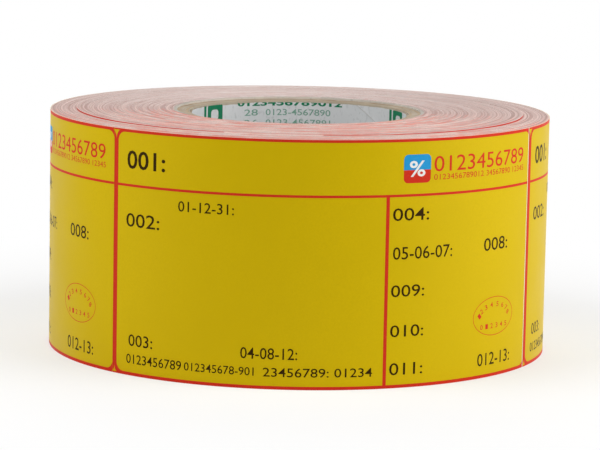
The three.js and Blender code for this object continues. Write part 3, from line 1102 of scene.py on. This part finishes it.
def draw_liner_rows(sheet, left, top):
    """The paler half of one repeat of the liner's print: two rows of digits."""
    for row, words in enumerate((("28", "0123-4567890"), ("36", "0123-4567891"))):
        low, high = (side - LINER_ROW_PITCH * row for side in LINER_ROW_HEIGHTS)
        for text, (start, end) in zip(words, LINER_ROW_COLUMNS):
            liner_words(sheet, left, top, text, (start, end, low, high), LINER_TEXT_WEIGHT)


def add_liner_print(name, draw, material):
    bore = node_radii("core_inner_liner")[0]
    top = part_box("core_inner_liner")[1][2]
    repeat = LINER_PRINT_PITCH * bore

    def bend(along, up, out):
        angle = LINER_PRINT_START - along / bore
        radius = bore - LINER_PRINT_GAP - out
        return radius * np.sin(angle), -radius * np.cos(angle), up

    sheet = bmesh.new()
    for row in range(LINER_PRINT_ROWS):
        for copy in range(LINER_PRINT_COPIES):
            start = (copy + row / 2) * repeat
            height = top - LINER_PRINT_TOP_DROP - row * LINER_PRINT_DROP
            draw(sheet, start % (FULL_TURN * bore), height)
    cut_sheet(sheet, 1, top - LINER_PRINT_MARGIN, -1)
    for step in range(1, int(STEPS_PER_TURN * LINER_PRINT_CUT_TURNS)):
        cut_sheet(sheet, 0, step * FULL_TURN * bore / STEPS_PER_TURN, 0)
    thicken(sheet, INK_THICKNESS)
    mesh = bent_mesh(name, sheet, bend)
    sheet.free()
    add_piece(name, mesh, [material], ["core_inner_liner"])


# Studio


def add_floor():
    sheet = bmesh.new()
    draw_rectangle(sheet, *(side * FLOOR_HALF_WIDTH for side in (-1, 1, -1, 1)))
    mesh = bpy.data.meshes.new("floor")
    sheet.to_mesh(mesh)
    sheet.free()
    mesh.materials.append(floor_paper())
    floor = bpy.data.objects.new("floor", mesh)
    floor.location.z = -FLOOR_DROP
    bpy.context.collection.objects.link(floor)


def aim(item, target):
    item.rotation_euler = (target - item.location).to_track_quat("-Z", "Y").to_euler()


def add_lamps():
    middle = Vector((0, 0, WEB_WIDTH / 2))
    for azimuth, elevation, distance, side, power in LAMPS:
        data = bpy.data.lights.new("softbox", "AREA")
        data.size = side
        data.energy = power
        lamp = bpy.data.objects.new("softbox", data)
        angle, height = math.radians(azimuth), math.radians(elevation)
        lamp.location = middle + distance * Vector(
            (math.sin(angle) * math.cos(height), -math.cos(angle) * math.cos(height), math.sin(height))
        )
        aim(lamp, middle)
        bpy.context.collection.objects.link(lamp)


def light_world():
    """A soft grey fill that cameras, mirrors and glass see as plain white."""
    world = bpy.data.worlds.new("studio")
    world.use_nodes = True
    bpy.context.scene.world = world
    nodes, links = world.node_tree.nodes, world.node_tree.links
    rays = nodes.new("ShaderNodeLightPath")
    previous = None
    for ray in ("Is Camera Ray", "Is Glossy Ray", "Is Transmission Ray"):
        step = nodes.new("ShaderNodeMath")
        step.operation = "MAXIMUM"
        links.new(rays.outputs[ray], step.inputs[0])
        if previous is None:
            step.inputs[1].default_value = WORLD_FILL
        else:
            links.new(previous.outputs[0], step.inputs[1])
        previous = step
    links.new(previous.outputs[0], nodes["Background"].inputs["Strength"])
    nodes["Background"].inputs["Color"].default_value = (1, 1, 1, 1)


def add_camera():
    data = bpy.data.cameras.new("camera")
    data.lens = CAMERA_LENS
    data.sensor_width = CAMERA_SENSOR
    camera = bpy.data.objects.new("camera", data)
    look = Matrix.Rotation(-CAMERA_YAW, 4, "Z") @ Matrix.Rotation(QUARTER_TURN - CAMERA_PITCH, 4, "X")
    place = Matrix.Translation((OUTLINE_CENTRE[0], OUTLINE_CENTRE[1] - CAMERA_DISTANCE, CAMERA_HEIGHT))
    camera.matrix_world = place @ look @ Matrix.Rotation(CAMERA_ROLL, 4, "Z")
    bpy.context.collection.objects.link(camera)
    bpy.context.scene.camera = camera


add_camera()
bpy.context.scene.view_settings.view_transform = "Standard"
light_world()
add_lamps()
add_floor()

edge_paper = web_edge()
edge_print = print_edge()
red_print = ink("label_print_red", (0.60, 0.030, 0.014))
backing = paper("backing_paper", [(0.80, 0.77, 0.75), (0.84, 0.81, 0.79)])
leader = paper("leader_edge", [(0.38, 0.345, 0.30), (0.45, 0.41, 0.36)])
# Painted shade: backing paper darkened for the shaded bore of the winding
bore_painted_shade = paper("bore_painted_shade", [(0.64, 0.59, 0.52), (0.70, 0.65, 0.58)])
kraft = paper("kraft_paper", [(0.32, 0.23, 0.14), (0.40, 0.30, 0.19)], roughness=0.9)
board = paper("core_board", [(0.44, 0.38, 0.29), (0.50, 0.44, 0.35)], roughness=0.9)
torn_colours = [(0.29, 0.225, 0.155), (0.42, 0.345, 0.26)]
torn = paper("torn_board", torn_colours, roughness=0.95, grain_depth=TORN_GRAIN_DEPTH)
liner = paper("liner_paper", [(0.64, 0.645, 0.65), (0.68, 0.685, 0.69)], roughness=0.6)
tape = paper("paper_tape", [(0.66, 0.56, 0.36), (0.70, 0.60, 0.40)], roughness=0.6)

bounds_of_bodies = [round(COVERED_TURNS * k / WOUND_BODIES) for k in range(WOUND_BODIES + 1)]
papers = [edge_paper, red_print, backing, leader, edge_print, bore_painted_shade]
for k in range(WOUND_BODIES):
    stood_for = ["inner_turns"] + (COVERED_LABELS if k == WOUND_BODIES - 1 else [])
    first, last = bounds_of_bodies[k], bounds_of_bodies[k + 1]
    wound_body(f"wound_turns_{k + 1}", first, last, papers, stood_for)
add_last_backing([backing])
add_labels(
    {
        "sheet": label_face(),
        "red": red_print,
        "black": ink("label_print_black", (0.030, 0.014, 0.001)),
        "blue": ink("label_print_blue", (0.02, 0.30, 0.62)),
        "white": ink("label_print_white", (0.80, 0.80, 0.78)),
    }
)
add_core({"liner": liner, "board": board, "kraft": kraft, "torn": torn})
add_fibres(torn)
dark_green = ink("liner_print_green", (0.015, 0.19, 0.09), LINER_WHITE, roughness=0.6)
add_liner_print("liner_print_dark", draw_liner_block, dark_green)
pale_green = ink("liner_print_pale_green", (0.20, 0.36, 0.28), LINER_WHITE, roughness=0.6)
add_liner_print("liner_print_pale", draw_liner_rows, pale_green)
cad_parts["lead_tape"].data.materials.clear()
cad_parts["lead_tape"].data.materials.append(tape)
